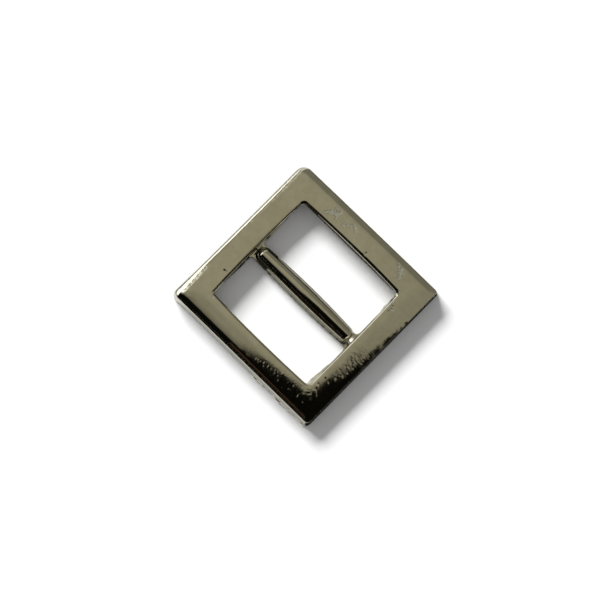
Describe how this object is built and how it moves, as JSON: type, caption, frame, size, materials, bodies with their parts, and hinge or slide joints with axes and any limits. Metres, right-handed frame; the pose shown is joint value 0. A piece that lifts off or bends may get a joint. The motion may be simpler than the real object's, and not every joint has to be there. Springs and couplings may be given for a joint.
{
  "type": "buckle slider",
  "caption": "Square strap slider of bright plated metal: crowned frame, stepped window and a barrel-ridged centre bar.",
  "frame": {"origin": "centre of the flat back, on the surface that the slider lies on", "axes": "+X along the centre bar, +Y across the two strap slots, +Z out of the crowned front"},
  "size_m": [0.029, 0.0294, 0.003],
  "materials": {
    "nickel_plate": "bright nickel plate on a die casting, with slight orange peel"
  },
  "bodies": {
    "root": {"frame": "nickel_plate", "center_bar": "nickel_plate"}
  },
  "joints": []
}
